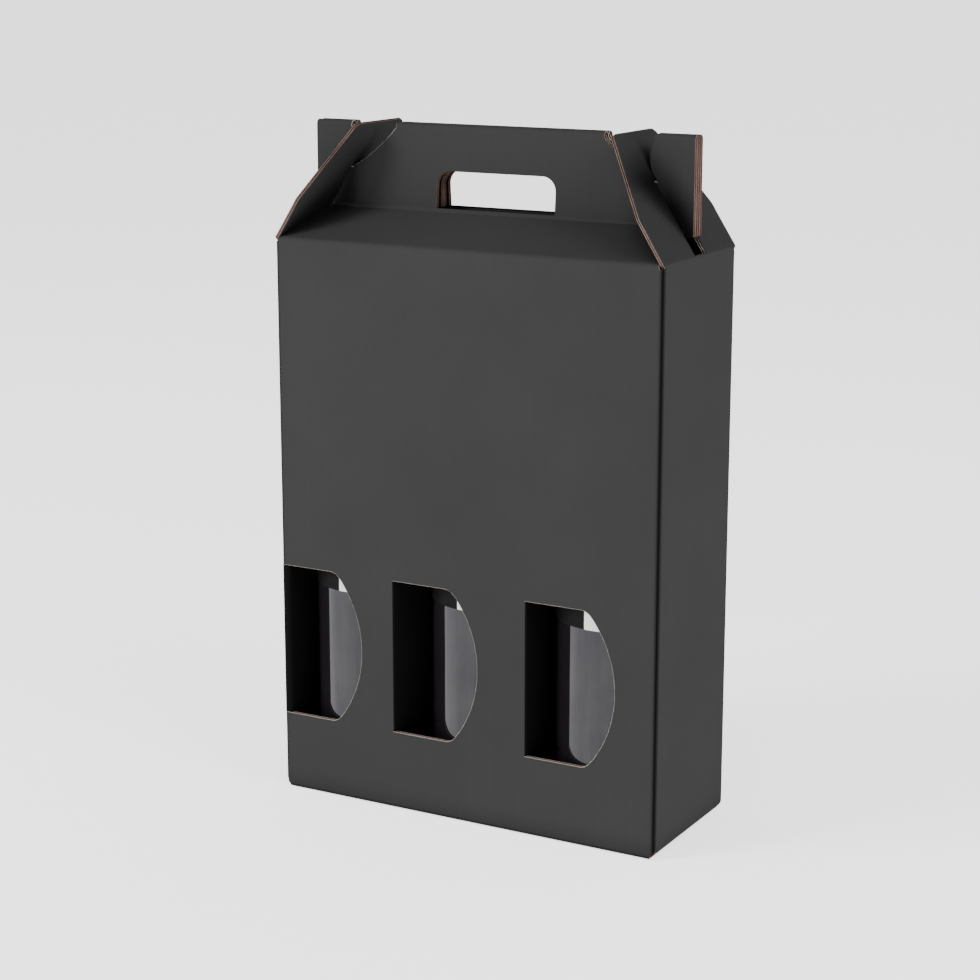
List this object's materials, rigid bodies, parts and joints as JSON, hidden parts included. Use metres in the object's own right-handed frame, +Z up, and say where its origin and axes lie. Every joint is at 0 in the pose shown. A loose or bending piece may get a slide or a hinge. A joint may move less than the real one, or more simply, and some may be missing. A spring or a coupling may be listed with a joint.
{
  "type": "wine bottle box",
  "caption": "Folded corrugated gift carton with a carrying handle, locking side flaps and D-shaped windows, holding labelled wine bottles upright.",
  "frame": {"origin": "middle of the carton's underside, on the surface it stands on", "axes": "+Z up, +X to the right along the carton's width seen from the front, the windowed front panel faces -Y"},
  "size_m": [0.246, 0.0944, 0.3982],
  "materials": {
    "board": "matt black liner on corrugated board",
    "bottle_glass": "dark bottle glass, filled, polished",
    "capsule_foil": "satin foil",
    "label_paper": "uncoated paper, blank"
  },
  "bodies": {
    "root": {"carton": "board", "bottle_left": "bottle_glass", "capsule_left": "capsule_foil", "label_left": "label_paper", "bottle_middle": "bottle_glass", "capsule_middle": "capsule_foil", "label_middle": "label_paper", "bottle_right": "bottle_glass", "capsule_right": "capsule_foil", "label_right": "label_paper"}
  },
  "joints": []
}
